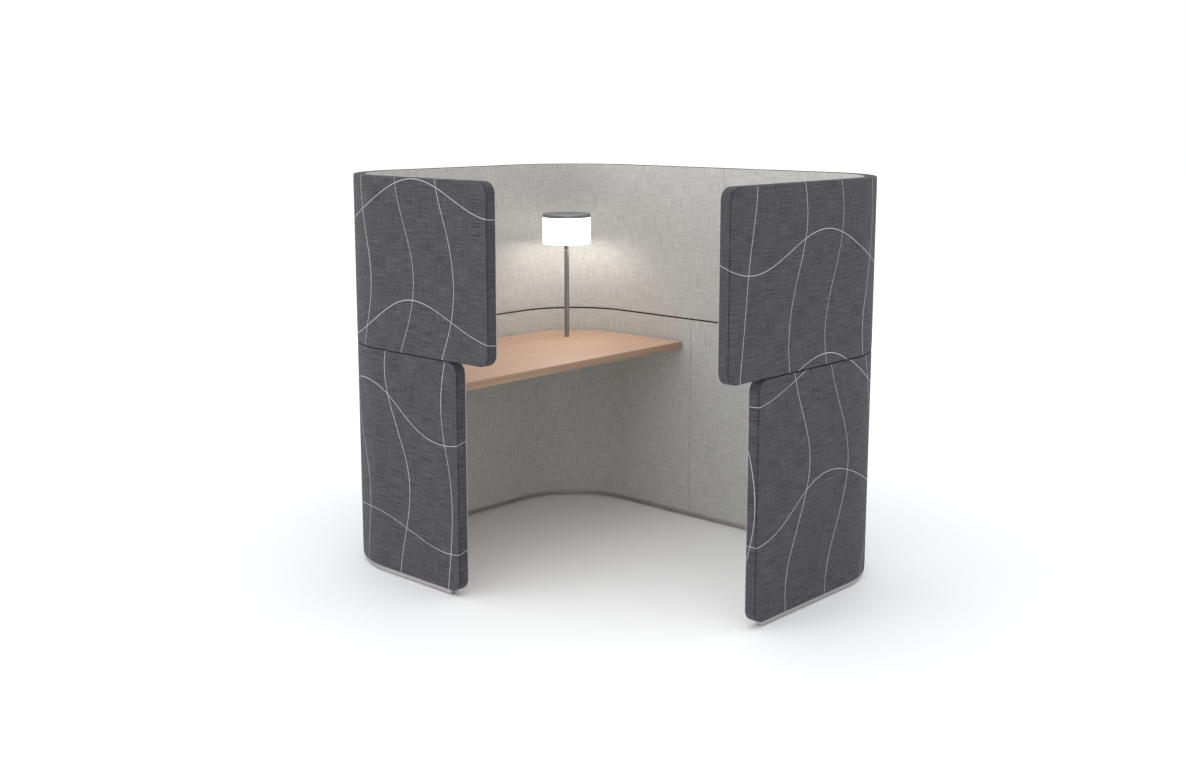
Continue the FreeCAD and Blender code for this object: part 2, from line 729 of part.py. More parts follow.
def build_lamp_head():
    """Build the shade, its cap and what gives the light."""
    inside = "sizes.shade_radius - sizes.shade_wall"
    lamp_piece(
        "shade", "lamp_shade",
        [("x", inside), ("y", SHADE_BASE), ("x", "sizes.shade_radius"), ("y", SHADE_TOP)],
    )
    lamp_piece(
        "cap", "lamp_cap",
        [
            ("x", "0"), ("y", PLUG_BASE), ("x", "sizes.neck_radius + sizes.lamp_fit_gap"), ("y", BOSS_BASE),
            ("x", "sizes.cap_boss_radius"), ("y", PLUG_BASE), ("x", f"{inside} - sizes.lamp_fit_gap"),
            ("y", SHADE_TOP), ("x", "sizes.shade_radius"), ("y", "sizes.desk_height + sizes.lamp_height"),
        ],
        {8: "sizes.cap_round"},
    )
    lamp_piece(
        "board", "lamp_led_board",
        [
            ("x", "sizes.cap_boss_radius + sizes.lamp_fit_gap"),
            ("y", f"{PLUG_BASE} - sizes.lamp_fit_gap - sizes.board_thickness"),
            ("x", "sizes.board_radius"), ("y", f"{PLUG_BASE} - sizes.lamp_fit_gap"),
        ],
    )
    floor = f"({PLUG_BASE} - sizes.diffuser_depth)"
    lamp_piece(
        "diffuser", "lamp_diffuser",
        [
            ("x", "sizes.cap_boss_radius + sizes.lamp_fit_gap"), ("y", floor), ("x", "sizes.diffuser_radius"),
            ("y", f"{PLUG_BASE} - sizes.lamp_fit_gap"), ("x", "sizes.diffuser_radius - sizes.diffuser_wall"),
            ("y", f"{floor} + sizes.diffuser_wall"),
        ],
    )


def build_lamp_stem():
    """Build the pole with its turning dimmer collar, and its fixing under the desk."""
    shoulder = f"({DIMMER_BASE} - sizes.dimmer_seat)"
    lamp_piece(
        "pole", "lamp_pole",
        [
            ("x", "sizes.pole_bore"), ("y", POLE_FOOT), ("x", "sizes.pole_radius"), ("y", shoulder),
            ("x", "sizes.neck_radius"), ("y", f"{PLUG_BASE} - sizes.lamp_fit_gap"),
        ],
        {2: "sizes.dimmer_round"},
    )
    lamp_piece(
        "dimmer", "lamp_dimmer_collar",
        [
            ("x", "sizes.neck_radius + sizes.dimmer_fit"), ("y", DIMMER_BASE), ("x", "sizes.pole_radius"),
            ("y", f"{DIMMER_BASE} + sizes.dimmer_length"),
        ],
        {1: "sizes.dimmer_round", 2: "sizes.dimmer_round"},
    )
    flange = revolved(
        "flange",
        [
            ("x", "sizes.inlet_spigot + sizes.lamp_fit_gap"), ("y", FLANGE_BASE),
            ("x", "sizes.flange_boss_radius"), ("y", f"{FLANGE_BASE} + sizes.flange_boss_length"),
            ("x", "sizes.flange_radius"), ("y", DESK_UNDERSIDE),
            ("x", "sizes.pole_radius + sizes.pole_hole_gap"), ("y", f"{FLANGE_BASE} + sizes.flange_floor"),
        ],
    )
    place(flange, LAMP_X, LAMP_Y)
    screws, holes = [], []
    for number, bearing in enumerate((90, 210, 330), start=1):
        x = f"{LAMP_X} + sizes.flange_screw_circle * cos({bearing} deg)"
        y = f"{LAMP_Y} + sizes.flange_screw_circle * sin({bearing} deg)"
        seat = f"{DESK_UNDERSIDE} - sizes.flange_thickness"
        screws.append(screw(f"flange_screw_{number}", x, y, seat))
        holes.append(screw_hole(f"flange_screw_hole_{number}", x, y, seat))
    keep(drilled("flange_drilled", flange, holes), "lamp_flange")
    keep(group("flange_screw_set", screws), "lamp_flange_screws")
    inlet_base = f"({FLANGE_BASE} - sizes.inlet_length)"
    lamp_piece(
        "inlet", "lamp_power_inlet",
        [
            ("x", "0"), ("y", f"{inlet_base} + sizes.inlet_bore_depth"), ("x", "sizes.inlet_bore"),
            ("y", inlet_base), ("x", "sizes.inlet_radius"), ("y", FLANGE_BASE),
            ("x", "sizes.inlet_spigot"), ("y", f"{FLANGE_BASE} + sizes.flange_floor"),
        ],
    )
    pole_hole = rod(
        "pole_hole", "sizes.pole_radius + sizes.pole_hole_gap", "sizes.desk_thickness",
        LAMP_X, LAMP_Y, DESK_UNDERSIDE,
    )
    return holes + [pole_hole]


def build_booth():
    """Build every sub-part, from the floor up."""
    stem_holes, insert_holes = build_feet()
    for shell, label in ((LOWER_DESK, "desk_plinth"), (LOWER_ENTRY, "entry_plinth")):
        build_plinth(shell, label, stem_holes[shell])
    dowel_holes = build_dowels()
    bolt_holes = build_seam_bolts()
    wall_holes, desk_holes = build_brackets()
    for shell in (LOWER_DESK, LOWER_ENTRY, UPPER_DESK, UPPER_ENTRY):
        joining = dowel_holes[shell] + bolt_holes[shell]
        screwed = wall_holes if shell is LOWER_DESK else []
        cover_holes = joining + stem_holes.get(shell, [])
        build_shell(shell, cover_holes, joining + insert_holes.get(shell, []) + screwed, screwed)
    joint_desk = Shell("joint_desk", True, LOWER_DESK.arm, LOWER_DESK.seam, LOWER_TOP, UPPER_BASE)
    joint_entry = Shell("joint_entry", False, LOWER_ENTRY.arm, LOWER_ENTRY.seam, LOWER_TOP, UPPER_BASE)
    build_joint_strip(joint_desk, "desk_joint", dowel_holes[LOWER_DESK])
    build_joint_strip(joint_entry, "entry_joint", dowel_holes[LOWER_ENTRY])
    build_lamp_head()
    build_desk(desk_holes + build_lamp_stem())
    document.recompute()


def check_document():
    """Stop if any object failed to compute or any sub-part lacks a sound solid."""
    for item in document.Objects:
        if {"Invalid", "Error"} & set(item.State):
            raise RuntimeError(f"{item.Label} failed: {item.State}")
        if item.isDerivedFrom("Sketcher::SketchObject") and not item.FullyConstrained:
            raise RuntimeError(f"{item.Label} is not fully constrained")
    for subpart in subparts:
        shape = subpart.Shape
        if shape.isNull() or not shape.isValid() or not shape.Solids:
            raise RuntimeError(f"{subpart.Label} has no sound solid")


def export_parts():
    """Write each sub-part to its own STEP file."""
    os.makedirs("parts", exist_ok=True)
    for subpart in subparts:
        subpart.Shape.exportStep(f"parts/{subpart.Label}.step")
        print(f"{subpart.Label}: {len(subpart.Shape.Solids)} solid(s), {subpart.Shape.Volume / 1000:.1f} cm3")


fill_sheet()
build_booth()
check_document()
export_parts()
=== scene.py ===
"""Office booth: upholstered screens, desk and pole lamp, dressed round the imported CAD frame.

Lengths are in metres, in the CAD's own frame: the origin is the middle of the plan on the floor,
+Y points to the desk wall and +X to the closed side wall.
"""

import logging
import math
from collections.abc import Callable, Iterator
from contextlib import contextmanager
from dataclasses import dataclass, replace
from enum import Enum

import bpy
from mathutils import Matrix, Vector


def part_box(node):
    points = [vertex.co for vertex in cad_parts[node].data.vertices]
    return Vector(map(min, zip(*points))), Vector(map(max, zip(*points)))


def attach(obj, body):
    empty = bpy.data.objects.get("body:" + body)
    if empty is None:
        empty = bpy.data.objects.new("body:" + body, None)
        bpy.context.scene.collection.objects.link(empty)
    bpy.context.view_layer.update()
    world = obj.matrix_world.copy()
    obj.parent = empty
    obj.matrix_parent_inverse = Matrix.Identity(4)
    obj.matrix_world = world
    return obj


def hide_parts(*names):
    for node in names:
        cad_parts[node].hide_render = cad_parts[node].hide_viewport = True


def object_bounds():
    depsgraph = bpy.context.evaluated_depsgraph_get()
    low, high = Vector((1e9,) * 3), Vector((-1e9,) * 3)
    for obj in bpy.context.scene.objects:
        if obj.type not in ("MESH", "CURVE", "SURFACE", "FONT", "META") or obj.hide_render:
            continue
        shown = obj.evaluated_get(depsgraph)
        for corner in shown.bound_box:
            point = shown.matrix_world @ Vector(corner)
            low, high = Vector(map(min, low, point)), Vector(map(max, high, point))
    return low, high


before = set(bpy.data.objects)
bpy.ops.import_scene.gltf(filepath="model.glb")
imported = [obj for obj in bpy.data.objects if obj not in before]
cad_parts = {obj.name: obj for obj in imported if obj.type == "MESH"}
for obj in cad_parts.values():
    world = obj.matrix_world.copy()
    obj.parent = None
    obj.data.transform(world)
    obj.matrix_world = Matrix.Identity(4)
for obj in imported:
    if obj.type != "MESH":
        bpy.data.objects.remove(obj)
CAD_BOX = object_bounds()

LOG = logging.getLogger("booth")
CLOTH_UV = "cloth"
HOUSING = "booth"

Colour = tuple[float, float, float]
Point = tuple[float, float, float]
Limits = tuple[float, float]

WHITE: Colour = (1.0, 1.0, 1.0)
MIDDLE = 0.5  # of noise, of a repeat and of a shade
QUARTER_TURN = math.pi / 2
LEVEL = 90.0  # the turn, in degrees, that makes a camera look level
SCREEN_REACH = 0.1  # how far in from its outer face a point can be on a screen
SAME_LEG = 1e-7  # how much nearer a later leg has to be to take a point
WELD = 1e-5  # how near to each other points are merged
CORNER_NEAR = 1e-4  # how near to a sheet's corner a point is at it
RIM_NEAR = 1e-3  # how near to a rim a point is on it
FACING = 0.7  # the cosine past which a face looks one way
MIX_FIRST, MIX_SECOND, MIX_RESULT = 6, 7, 2  # a Mix node's colour sockets


def rgba(colour: Colour) -> tuple[float, float, float, float]:
    """Returns the colour with full opacity."""
    return (*colour, 1.0)


def shaded(colour: Colour, share: float) -> Colour:
    """Returns the colour made darker or lighter by a share."""
    return tuple(part * share for part in colour)


class Value:
    """A shader value: its operators add Math nodes to the graph that it belongs to."""

    def __init__(self, graph: "Graph", socket: bpy.types.NodeSocket) -> None:
        """Wraps an output socket of a graph."""
        self.graph = graph
        self.socket = socket

    def result(self, operation: str, first: "Operand", second: "Operand" = 0.0) -> "Value":
        """Returns what a new Math node makes of one value or two."""
        return self.graph.node("ShaderNodeMath", {"operation": operation}, {0: first, 1: second})

    def __add__(self, other: "Operand") -> "Value":
        """Returns this plus another."""
        return self.result("ADD", self, other)

    __radd__ = __add__

    def __sub__(self, other: "Operand") -> "Value":
        """Returns this less another."""
        return self.result("SUBTRACT", self, other)

    def __rsub__(self, other: "Operand") -> "Value":
        """Returns another less this."""
        return self.result("SUBTRACT", other, self)

    def __mul__(self, other: "Operand") -> "Value":
        """Returns this times another."""
        return self.result("MULTIPLY", self, other)

    __rmul__ = __mul__

    def __truediv__(self, other: "Operand") -> "Value":
        """Returns this over another."""
        return self.result("DIVIDE", self, other)

    def __rtruediv__(self, other: "Operand") -> "Value":
        """Returns another over this."""
        return self.result("DIVIDE", other, self)

    def __abs__(self) -> "Value":
        """Returns this without its sign."""
        return self.result("ABSOLUTE", self)

    def wave(self, length: float, phase: float = 0.0) -> "Value":
        """Returns a sine of this, from -1 to 1, with a wave's length and a phase in radians."""
        return self.result("SINE", self * (math.tau / length) + phase)

    def part(self) -> "Value":
        """Returns what is left of this above a whole number."""
        return self.result("FRACT", self)

    def most(self, other: "Operand") -> "Value":
        """Returns the larger of this and another."""
        return self.result("MAXIMUM", self, other)

    def eased(self, low: float, high: float) -> "Value":
        """Returns 0 below low and 1 above high, with a smooth step between them."""
        limits = {"Value": self, "From Min": low, "From Max": high}
        return self.graph.node("ShaderNodeMapRange", {"interpolation_type": "SMOOTHSTEP"}, limits)


Operand = Value | float


class Graph:
    """The node graph of one material or of the world."""

    def __init__(self, owner: bpy.types.Material | bpy.types.World) -> None:
        """Empties the graph of its owner.

        Args:
            owner: The material or the world.
        """
        self.owner = owner
        self.owner.use_nodes = True
        self.tree = self.owner.node_tree
        self.tree.nodes.clear()

    @classmethod
    def of_material(cls, name: str) -> "Graph":
        """Returns the empty graph of a new material."""
        return cls(bpy.data.materials.new(name))

    def node(self, kind: str, settings: dict[str, object], inputs: dict[object, object],
             output: int | str = 0) -> Value | None:
        """Adds a node of any kind.

        Args:
            kind: The node's type.
            settings: Its own properties, which are set first.
            inputs: Values or links, by socket name or number.
            output: The output that is wanted.

        Returns:
            That output, or None for a node that has none.
        """
        made = self.tree.nodes.new(kind)
        for name, setting in settings.items():
            setattr(made, name, setting)
        for name, value in inputs.items():
            if isinstance(value, Value):
                self.tree.links.new(value.socket, made.inputs[name])
            else:
                made.inputs[name].default_value = value
        return Value(self, made.outputs[output]) if made.outputs else None

    def place(self) -> Value:
        """Returns the point on the piece, in the piece's own frame."""
        return self.node("ShaderNodeTexCoord", {}, {}, "Object")

    def cloth(self) -> Value:
        """Returns the point on the cut cloth, in metres along and up."""
        return self.node("ShaderNodeUVMap", {"uv_map": CLOTH_UV}, {}, "UV")

    def axes(self, point: Value) -> tuple[Value, Value, Value]:
        """Returns the three parts of a point."""
        made = [self.node("ShaderNodeSeparateXYZ", {}, {0: point}, axis) for axis in "XYZ"]
        return made[0], made[1], made[2]

    def grain(self, point: Value, size: Point, detail: float = 2.0, rough: float = 0.5) -> Value:
        """Adds noise whose marks have a given size along each axis.

        Args:
            point: Where it is read.
            size: How long a mark is along each axis.
            detail: How many finer layers it has.
            rough: How strong the finer layers are.

        Returns:
            The noise, from 0 to 1 about a half.
        """
        scale = tuple(1.0 / part for part in size)
        stretched = self.node("ShaderNodeMapping", {}, {"Vector": point, "Scale": scale})
        settings = {"Vector": stretched, "Scale": 1.0, "Detail": detail, "Roughness": rough}
        return self.node("ShaderNodeTexNoise", {}, settings)

    def mixed(self, share: Operand, first: object, second: object) -> Value:
        """Returns a colour between two, with a share of the second."""
        inputs = {0: share, MIX_FIRST: first, MIX_SECOND: second}
        return self.node("ShaderNodeMix", {"data_type": "RGBA"}, inputs, MIX_RESULT)

    def tinted(self, share: Operand, colour: Colour, dark: float, pale: float) -> Value:
        """Returns a colour between a darker and a paler shade of it, with a share of the paler."""
        return self.mixed(share, rgba(shaded(colour, dark)), rgba(shaded(colour, pale)))

    def bump(self, height: Value, depth: float, strength: float) -> Value:
        """Returns a normal that is raised by a height, in metres of depth."""
        settings = {"Strength": strength, "Distance": depth, "Height": height}
        return self.node("ShaderNodeBump", {}, settings, "Normal")

    def finished(self, inputs: dict[str, object]) -> bpy.types.Material:
        """Closes a material's graph with a surface shader.

        Args:
            inputs: The shader's values and links.

        Returns:
            The material.
        """
        shader = self.node("ShaderNodeBsdfPrincipled", {}, inputs)
        self.node("ShaderNodeOutputMaterial", {}, {"Surface": shader})
        return self.owner


@dataclass(frozen=True)
class Trellis:
    """Fine pale lines on a cloth: waves that run up it, crossed by waves that run along it."""

    colour: Colour = (0.70, 0.70, 0.71)
    width: float = 0.0018
    soft_share: float = 0.125
    up_spacing: float = 0.235
    up_swing: float = 0.045
    up_length: float = 0.930
    along_spacing: float = 0.420
    along_swing: float = 0.055
    along_length: float = 0.840
    along_phase: float = 0.7
    drift: float = 0.20
    sway_size: Point = (0.55, 0.55, 1.0)
    heave_size: Point = (0.77, 0.44, 1.0)

    def mask(self, graph: Graph, cut: Value) -> Value:
        """Builds the lines.

        Args:
            graph: The graph that they are in.
            cut: The point on the cloth.

        Returns:
            1 on a line and 0 off it.
        """
        along, up, _ = graph.axes(cut)
        sway = (graph.grain(cut, self.sway_size, detail=0.0) - MIDDLE) * self.drift
        heave = (graph.grain(cut, self.heave_size, detail=0.0) - MIDDLE) * self.drift
        rising = along + sway + up.wave(self.up_length) * self.up_swing
        lying = up + heave + along.wave(self.along_length, self.along_phase) * self.along_swing
        return self.rows(rising, self.up_spacing).most(self.rows(lying, self.along_spacing))

    def rows(self, across: Value, spacing: float) -> Value:
        """Builds evenly spaced lines.

        Args:
            across: How far across the lines a point is.
            spacing: How far apart the lines are.

        Returns:
            1 on a line and 0 off it.
        """
        near = abs((across / spacing).part() - MIDDLE) * spacing
        edge, soft = self.width / 2, self.width * self.soft_share
        return 1.0 - near.eased(edge - soft, edge + soft)


@dataclass(frozen=True)
class SlubCloth:
    """A plain-weave upholstery cloth with uneven yarns, read from the piece's own cloth map."""

    name: str
    ground: Colour
    weft: float
    warp: float
    yarn: float
    sheen: float
    clouds: float
    trellis: Trellis | None = None
    streak_size: Point = (0.085, 0.0030, 1.0)
    pick_size: Point = (0.022, 0.0016, 1.0)
    end_size: Point = (0.0028, 0.075, 1.0)
    cloud_size: Point = (0.16, 0.10, 1.0)
    pick_share: float = 0.5
    weave_tone: float = 0.05
    weave_height: float = 0.5
    tone_limits: Limits = (-0.25, 1.25)
    dark: float = 0.45
    pale: float = 1.55
    line_share: float = 0.86
    line_fade: float = 0.25
    line_height: float = 0.4
    rough: float = 0.9
    rough_fall: float = 0.1
    specular: float = 0.25
    sheen_rough: float = 0.5
    relief: float = 0.0006
    relief_strength: float = 0.8

    def material(self) -> bpy.types.Material:
        """Builds the cloth's graph.

        Returns:
            Its material.
        """
        graph = Graph.of_material(self.name)
        cut = graph.cloth()
        along, up, _ = graph.axes(cut)
        streak = graph.grain(cut, self.streak_size) - MIDDLE
        pick = graph.grain(cut, self.pick_size) - MIDDLE
        end = graph.grain(cut, self.end_size) - MIDDLE
        cloud = graph.grain(cut, self.cloud_size) - MIDDLE
        tone = (streak * self.weft + end * self.warp
                + pick * (self.weft * self.pick_share) + cloud * self.clouds)
        woven = along.wave(self.yarn * 2) * up.wave(self.yarn * 2)
        shade = tone + woven * self.weave_tone + MIDDLE
        colour = graph.tinted(shade.eased(*self.tone_limits), self.ground, self.dark, self.pale)
        height = woven * self.weave_height + tone
        if self.trellis:
            lines = self.trellis.mask(graph, cut)
            shown = lines * (tone * self.line_fade + self.line_share)
            colour = graph.mixed(shown, colour, rgba(self.trellis.colour))
            height = height + lines * self.line_height
        return graph.finished({
            "Base Color": colour,
            "Roughness": self.rough - tone * self.rough_fall,
            "Specular IOR Level": self.specular,
            "Sheen Weight": self.sheen,
            "Sheen Roughness": self.sheen_rough,
            "Normal": graph.bump(height, self.relief, self.relief_strength),
        })


@dataclass(frozen=True)
class Timber:
    """Lacquered wood with its grain along X."""

    name: str
    light: Colour
    dark: Colour
    figure_size: Point = (1.3, 0.060, 0.060)
    growth_size: Point = (0.50, 0.009, 0.009)
    fleck_size: Point = (0.012, 0.0013, 0.0013)
    figure_share: float = 0.55
    growth_share: float = 0.45
    tone_limits: Limits = (0.30, 0.70)
    fleck_limits: Limits = (0.60, 0.72)
    fleck_share: float = 0.30
    fleck_shade: float = 0.72
    fleck_depth: float = 0.5
    rough: float = 0.42
    fleck_rough: float = 0.14
    growth_rough: float = 0.06
    coat: float = 0.10
    coat_rough: float = 0.35
    relief: float = 0.00012
    relief_strength: float = 0.6

    def material(self) -> bpy.types.Material:
        """Builds the wood's graph.

        Returns:
            Its material.
        """
        graph = Graph.of_material(self.name)
        point = graph.place()
        figure = graph.grain(point, self.figure_size, detail=3.0, rough=0.55)
        growth = graph.grain(point, self.growth_size, detail=3.0, rough=0.6)
        flecks = graph.grain(point, self.fleck_size, detail=1.0).eased(*self.fleck_limits)
        tone = figure * self.figure_share + growth * self.growth_share
        wood = graph.mixed(tone.eased(*self.tone_limits), rgba(self.dark), rgba(self.light))
        fleck_colour = rgba(shaded(self.dark, self.fleck_shade))
        return graph.finished({
            "Base Color": graph.mixed(flecks * self.fleck_share, wood, fleck_colour),
            "Roughness": self.rough + flecks * self.fleck_rough + growth * self.growth_rough,
            "Coat Weight": self.coat,
            "Coat Roughness": self.coat_rough,
            "Normal": graph.bump(growth - flecks * self.fleck_depth, self.relief,
                                 self.relief_strength),
        })


@dataclass(frozen=True)
class Metal:
    """Bare or plated metal with fine marks along one axis."""

    name: str
    colour: Colour
    rough: float
    mark_size: Point
    cloud_size: Point = (0.05, 0.05, 0.05)
    dark: float = 0.86
    pale: float = 1.12
    mark_rough: float = 0.18
    cloud_rough: float = 0.12
    relief: float = 0.00005
    relief_strength: float = 0.5

    def material(self) -> bpy.types.Material:
        """Builds the metal's graph.

        Returns:
            Its material.
        """
        graph = Graph.of_material(self.name)
        point = graph.place()
        marks = graph.grain(point, self.mark_size, detail=3.0, rough=0.6)
        cloud = graph.grain(point, self.cloud_size)
        uneven = (marks - MIDDLE) * self.mark_rough + (cloud - MIDDLE) * self.cloud_rough
        return graph.finished({
            "Base Color": graph.tinted(marks, self.colour, self.dark, self.pale),
            "Metallic": 1.0,
            "Roughness": uneven + self.rough,
            "Normal": graph.bump(marks, self.relief, self.relief_strength),
        })


@dataclass(frozen=True)
class Moulded:
    """Moulded plastic or a sprayed coat, with a fine pebbled skin."""

    name: str
    colour: Colour
    rough: float
    pebble: float = 0.0011
    cloud_size: Point = (0.03, 0.03, 0.03)
    pebble_share: float = 0.6
    cloud_share: float = 0.4
    dark: float = 0.82
    pale: float = 1.18
    cloud_rough: float = 0.16
    relief: float = 0.00008
    relief_strength: float = 0.6

    def material(self) -> bpy.types.Material:
        """Builds the skin's graph.

        Returns:
            Its material.
        """
        graph = Graph.of_material(self.name)
        point = graph.place()
        skin = graph.grain(point, (self.pebble,) * 3)
        cloud = graph.grain(point, self.cloud_size)
        tone = skin * self.pebble_share + cloud * self.cloud_share
        return graph.finished({
            "Base Color": graph.tinted(tone, self.colour, self.dark, self.pale),
            "Roughness": (cloud - MIDDLE) * self.cloud_rough + self.rough,
            "Normal": graph.bump(skin, self.relief, self.relief_strength),
        })


@dataclass(frozen=True)
class Opal:
    """Milky plastic that is lit from within."""

    name: str
    colour: Colour
    glow: float
    cloud_size: Point = (0.07, 0.07, 0.05)
    dark: float = 0.97
    rough: float = 0.38
    cloud_rough: float = 0.1

    def material(self) -> bpy.types.Material:
        """Builds the lit plastic's graph.

        Returns:
            Its material.
        """
        graph = Graph.of_material(self.name)
        cloud = graph.grain(graph.place(), self.cloud_size)
        warm = graph.tinted(cloud, self.colour, self.dark, 1.0)
        return graph.finished({
            "Base Color": warm,
            "Roughness": (cloud - MIDDLE) * self.cloud_rough + self.rough,
            "Emission Color": warm,
            "Emission Strength": self.glow,
        })


@dataclass(frozen=True)
class Plies:
    """Bent plywood: thin layers seen as stripes, with a faint grain."""

    name: str
    light: Colour
    dark: Colour
    ply: float = 0.0015
    fibre_size: Point = (0.004, 0.004, 0.18)
    fibre_share: float = 0.7
    layer_share: float = 0.12
    light_share: float = 0.15
    rough: float = 0.55
    fibre_rough: float = 0.2
    relief: float = 0.0001
    relief_strength: float = 0.5

    def material(self) -> bpy.types.Material:
        """Builds the plywood's graph.

        Returns:
            Its material.
        """
        graph = Graph.of_material(self.name)
        point = graph.place()
        across, deep, _ = graph.axes(point)
        fibre = graph.grain(point, self.fibre_size, detail=3.0, rough=0.6)
        layers = (across + deep).wave(self.ply * 2)
        tone = fibre * self.fibre_share + layers * self.layer_share + self.light_share
        return graph.finished({
            "Base Color": graph.mixed(tone, rgba(self.dark), rgba(self.light)),
            "Roughness": fibre * self.fibre_rough + self.rough,
            "Normal": graph.bump(fibre, self.relief, self.relief_strength),
        })


class Finish(Enum):
    """Every finish on the booth, by the name of its slot in the record."""

    COVER = "cover_fabric"
    LINING = "lining_fabric"
    PLYWOOD = "core_plywood"
    PLINTH = "plinth_aluminium"
    STRIP = "joint_strip"
    FASTENER = "fastener_steel"
    INSERT = "insert_brass"
    DESK = "desk_wood"
    DESK_EDGE = "desk_edge"
    BRACKET = "bracket_steel"
    SHADE = "lamp_opal"
    LAMP = "lamp_bronze"
    COLLAR = "lamp_collar"
    BOARD = "lamp_board"
    INLET = "inlet_plastic"
    FOOT = "foot_plastic"


Recipe = SlubCloth | Timber | Metal | Moulded | Opal | Plies

RECIPES: dict[Finish, Recipe] = {
    Finish.COVER: SlubCloth(
        "charcoal_slub_cloth", (0.0615, 0.0612, 0.0705), weft=2.1, warp=1.35, yarn=0.0011,
        sheen=0.08, clouds=0.14, trellis=Trellis()),
    Finish.LINING: SlubCloth(
        "pale_linen_cloth", (0.535, 0.536, 0.518), weft=0.58, warp=0.56, yarn=0.0012,
        sheen=0.05, clouds=0.05),
    Finish.PLYWOOD: Plies("bent_plywood", light=(0.66, 0.50, 0.34), dark=(0.46, 0.32, 0.19)),
    Finish.PLINTH: Metal(
        "satin_aluminium", (0.47, 0.445, 0.45), rough=0.36, mark_size=(0.22, 0.22, 0.0008)),
    Finish.STRIP: Moulded("black_joint_strip", (0.040, 0.040, 0.041), rough=0.7),
    Finish.FASTENER: Metal(
        "zinc_steel", (0.56, 0.56, 0.57), rough=0.32, mark_size=(0.002, 0.002, 0.0006)),
    Finish.INSERT: Metal(
        "turned_brass", (0.70, 0.53, 0.26), rough=0.28, mark_size=(0.02, 0.02, 0.0006)),
    Finish.DESK: Timber("beech_top", light=(0.614, 0.407, 0.290), dark=(0.530, 0.334, 0.226)),
    # The front edge is a darker copy of the top's beech: painted shade on the edge that faces
    # forward.
    Finish.DESK_EDGE: Timber("shaded_beech_edge", light=(0.41, 0.275, 0.192), dark=(0.305, 0.195, 0.13)),
    Finish.BRACKET: Moulded("grey_powder_coat", (0.15, 0.15, 0.16), rough=0.5, pebble=0.0009),
    Finish.SHADE: Opal("lit_opal", (1.0, 0.985, 0.96), glow=1.0),
    Finish.LAMP: Metal(
        "bronze_grey_metal", (0.305, 0.310, 0.330), rough=0.42, mark_size=(0.0009, 0.0009, 0.09)),
    Finish.COLLAR: Moulded("dark_collar", (0.055, 0.053, 0.05), rough=0.48, pebble=0.0008),
    Finish.BOARD: Moulded("white_light_board", (0.84, 0.84, 0.81), rough=0.5, pebble=0.002),
    Finish.INLET: Moulded("black_inlet", (0.026, 0.026, 0.027), rough=0.55),
    Finish.FOOT: Moulded("black_foot", (0.045, 0.045, 0.046), rough=0.6),
}


class Finishes:
    """The materials, each made once, when it is first asked for."""

    def __init__(self) -> None:
        """Starts with none made."""
        self.made: dict[Finish, bpy.types.Material] = {}

    def get(self, finish: Finish) -> bpy.types.Material:
        """Returns a finish's material.

        Args:
            finish: The finish.

        Returns:
            Its material, which is made if it isn't there.
        """
        if finish not in self.made:
            self.made[finish] = RECIPES[finish].material()
        return self.made[finish]

    def dress(self, piece: bpy.types.Object, finish: Finish) -> None:
        """Puts a finish on a piece in place of what it has."""
        piece.data.materials.clear()
        piece.data.materials.append(self.get(finish))

    def dress_node(self, node: str, finish: Finish) -> None:
        """Puts a finish in a CAD node's own slots.

        Args:
            node: The node's name.
            finish: The finish.
        """
        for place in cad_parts[node].material_slots:
            place.material = self.get(finish)
        LOG.info("%s: %s", node, finish.value)


@contextmanager
def whole_selected() -> Iterator[None]:
    """Edits the active piece with all of it selected, then goes back to object mode.

    Yields:
        Nothing, while the piece is in edit mode.
    """
    bpy.ops.object.mode_set(mode="EDIT")
    bpy.ops.mesh.select_all(action="SELECT")
    yield
    bpy.ops.object.mode_set(mode="OBJECT")


def modify(piece: bpy.types.Object, kind: str, settings: dict[str, object]) -> None:
    """Gives the active piece a modifier and applies it.

    Args:
        piece: The piece.
        kind: The modifier's type.
        settings: Its properties.
    """
    added = piece.modifiers.new(kind.lower(), kind)
    for name, setting in settings.items():
        setattr(added, name, setting)
    bpy.ops.object.modifier_apply(modifier=added.name)


class Pick(Enum):
    """What is picked for the next edit-mode tool."""

    POINTS = "VERT"
    FACES = "FACE"

    def start(self, piece: bpy.types.Object, wanted: Callable[[object], bool]) -> None:
        """Goes to edit mode with only the wanted points or faces selected.

        Args:
            piece: The active piece.
            wanted: Whether one point or face is picked.
        """
        bpy.ops.object.mode_set(mode="EDIT")
        bpy.ops.mesh.select_mode(type=self.value)
        bpy.ops.mesh.select_all(action="DESELECT")
        bpy.ops.object.mode_set(mode="OBJECT")
        for item in piece.data.vertices if self is Pick.POINTS else piece.data.polygons:
            item.select = wanted(item)
        bpy.ops.object.mode_set(mode="EDIT")


@dataclass(frozen=True)
class Spot:
    """Where a point is on a screen: along its outer face and in from it, and the ways of both."""

    along: float
    depth: float
    inward: Vector
    onward: Vector

    def into(self, depth: float) -> Vector:
        """Returns a move by a depth into the screen."""
        return self.inward.to_3d() * depth


